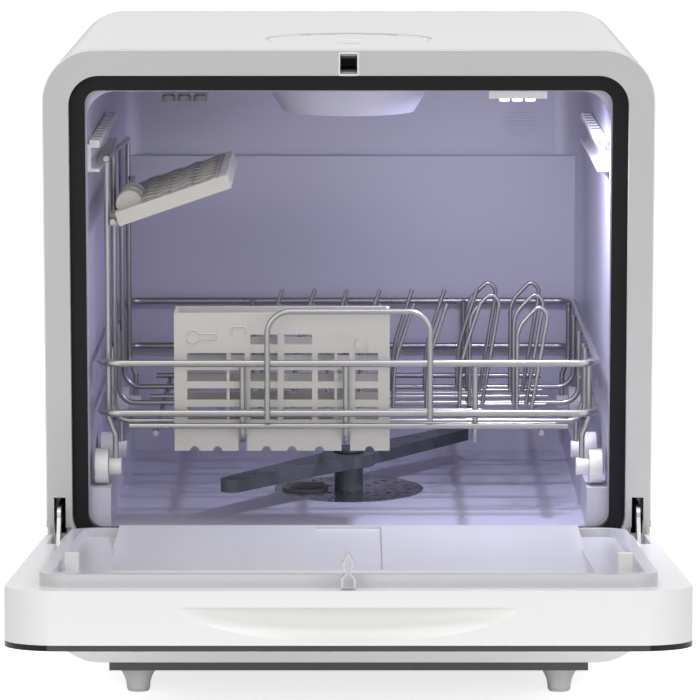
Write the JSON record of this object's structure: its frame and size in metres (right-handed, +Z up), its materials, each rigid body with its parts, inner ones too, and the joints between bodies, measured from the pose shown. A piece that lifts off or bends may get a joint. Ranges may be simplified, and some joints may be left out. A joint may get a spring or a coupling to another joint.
{
  "type": "countertop dishwasher",
  "caption": "Compact countertop dishwasher: rounded cabinet with drop-down door, spray arm and a roll-out wire basket with cup shelf and cutlery basket.",
  "frame": {"origin": "middle of the cabinet's footprint, on the surface that the feet stand on", "axes": "+Z up, -Y out of the front towards the open door, +X to the right of someone who faces the door"},
  "size_m": [0.42, 0.7934, 0.457],
  "materials": {
    "shell_white": "smooth glossy",
    "cover_white": "matt",
    "frame_silver": "satin silver",
    "steel": "satin",
    "tub_lavender": "satin",
    "seal_black": "matt",
    "part_black": "matt",
    "part_grey": "matt",
    "light_grey": "satin",
    "part_white": "satin",
    "foot_grey": "matt",
    "coated_wire": "satin",
    "beige_grey": "satin",
    "tank_clear": "translucent",
    "black_glass": "mirror smooth",
    "door_white": "smooth glossy",
    "foam_black": "coarse felt",
    "board_green": "satin",
    "lens_clear": "polished"
  },
  "bodies": {
    "cabinet": {"outer_shell": "shell_white", "rear_cover": "cover_white", "rear_screws": "steel", "base_tray": "part_grey", "feet": "foot_grey", "front_frame": "frame_silver", "toe_panel": "light_grey", "tub": "tub_lavender", "tub_gasket": "seal_black", "wheel_runners": "tub_lavender", "side_rails": "part_white", "sump": "light_grey", "filter_plate": "steel", "spray_post": "part_grey", "wash_pump_housing": "part_grey", "pump_cradle": "seal_black", "drain_pump": "part_grey", "heater_coil": "steel", "water_tank": "tank_clear", "filler_duct": "tank_clear", "filler_bowl": "shell_white", "lid_pin": "steel", "inlet_valve": "part_white", "drain_spout": "part_grey", "power_gland": "part_black", "power_board": "board_green", "fan_housing": "part_grey", "latch_box": "part_black", "lamp_housing": "part_white", "lamp_lens": "lens_clear", "ceiling_vent": "part_grey", "hinge_arm_left": "steel", "hinge_arm_right": "steel"},
    "door": {"door_frame": "door_white", "door_glass": "black_glass", "door_liner": "light_grey", "door_insulation": "foam_black", "touch_board": "board_green", "latch_striker": "steel", "roller_stops": "part_white", "hinge_pins": "steel"},
    "basket": {"basket_wires": "coated_wire", "basket_handle": "coated_wire", "plate_tines": "coated_wire", "bowl_tines": "coated_wire", "tall_rack": "coated_wire", "wheel_hubs": "part_white"},
    "cup_shelf": {"cup_shelf": "beige_grey"},
    "cutlery_basket": {"cutlery_basket": "beige_grey"},
    "spray_arm": {"spray_arm": "part_grey"},
    "pump_rotor": {"pump_rotor": "steel"},
    "fan_rotor": {"fan_rotor": "part_black"},
    "filter_cup": {"filter_cup": "part_grey"},
    "filler_lid": {"filler_lid": "shell_white"},
    "wheel_front_left": {"wheel_front_left": "part_white"},
    "wheel_front_right": {"wheel_front_right": "part_white"},
    "wheel_mid_left": {"wheel_mid_left": "part_white"},
    "wheel_mid_right": {"wheel_mid_right": "part_white"},
    "wheel_rear_left": {"wheel_rear_left": "part_white"},
    "wheel_rear_right": {"wheel_rear_right": "part_white"}
  },
  "joints": [
    {"name": "door_hinge", "type": "hinge", "parent": "cabinet", "child": "door", "pos_m": [0, -0.2195, 0.0967], "axis": [1, 0, 0], "range_deg": [-84, 0]},
    {"name": "basket_slide", "type": "slide", "parent": "cabinet", "child": "basket", "axis": [0, -1, 0], "range_m": [0, 0.288]},
    {"name": "cup_shelf_fold", "type": "hinge", "parent": "basket", "child": "cup_shelf", "pos_m": [-0.1638, -0.086, 0.335], "axis": [0, 1, 0], "range_deg": [-50, 0]},
    {"name": "cutlery_lift", "type": "slide", "parent": "basket", "child": "cutlery_basket", "axis": [0, 0, -1], "range_m": [-0.07, 0]},
    {"name": "spray_arm_spin", "type": "hinge", "parent": "cabinet", "child": "spray_arm", "pos_m": [0, -0.0175, 0.142], "axis": [0, 0, 1], "continuous": true},
    {"name": "pump_rotor_spin", "type": "hinge", "parent": "cabinet", "child": "pump_rotor", "pos_m": [0.09, -0.0175, 0.065], "axis": [1, 0, 0], "continuous": true},
    {"name": "fan_rotor_spin", "type": "hinge", "parent": "cabinet", "child": "fan_rotor", "pos_m": [0.132, 0.178, 0.375], "axis": [0, 1, 0], "continuous": true},
    {"name": "filter_cup_twist", "type": "hinge", "parent": "cabinet", "child": "filter_cup", "pos_m": [-0.032, -0.0175, 0.1196], "axis": [0, 0, 1], "range_deg": [0, 90]},
    {"name": "filler_lid_hinge", "type": "hinge", "parent": "cabinet", "child": "filler_lid", "pos_m": [0, -0.0425, 0.4532], "axis": [1, 0, 0], "range_deg": [-95, 0]},
    {"name": "wheel_front_left_roll", "type": "hinge", "parent": "basket", "child": "wheel_front_left", "pos_m": [-0.1727, -0.1605, 0.1625], "axis": [1, 0, 0], "range_deg": [0, 1345]},
    {"name": "wheel_front_right_roll", "type": "hinge", "parent": "basket", "child": "wheel_front_right", "pos_m": [0.1727, -0.1605, 0.1625], "axis": [1, 0, 0], "range_deg": [0, 1345]},
    {"name": "wheel_mid_left_roll", "type": "hinge", "parent": "basket", "child": "wheel_mid_left", "pos_m": [-0.1727, -0.0915, 0.1625], "axis": [1, 0, 0], "range_deg": [0, 1345]},
    {"name": "wheel_mid_right_roll", "type": "hinge", "parent": "basket", "child": "wheel_mid_right", "pos_m": [0.1727, -0.0915, 0.1625], "axis": [1, 0, 0], "range_deg": [0, 1345]},
    {"name": "wheel_rear_left_roll", "type": "hinge", "parent": "basket", "child": "wheel_rear_left", "pos_m": [-0.1727, 0.1135, 0.1625], "axis": [1, 0, 0], "range_deg": [0, 1345]},
    {"name": "wheel_rear_right_roll", "type": "hinge", "parent": "basket", "child": "wheel_rear_right", "pos_m": [0.1727, 0.1135, 0.1625], "axis": [1, 0, 0], "range_deg": [0, 1345]}
  ],
  "couplings": [
    {"joint": "wheel_front_left_roll", "follows": "basket_slide", "rad_per_m": 81.301},
    {"joint": "wheel_front_right_roll", "follows": "basket_slide", "rad_per_m": 81.301},
    {"joint": "wheel_mid_left_roll", "follows": "basket_slide", "rad_per_m": 81.301},
    {"joint": "wheel_mid_right_roll", "follows": "basket_slide", "rad_per_m": 81.301},
    {"joint": "wheel_rear_left_roll", "follows": "basket_slide", "rad_per_m": 81.301},
    {"joint": "wheel_rear_right_roll", "follows": "basket_slide", "rad_per_m": 81.301}
  ]
}
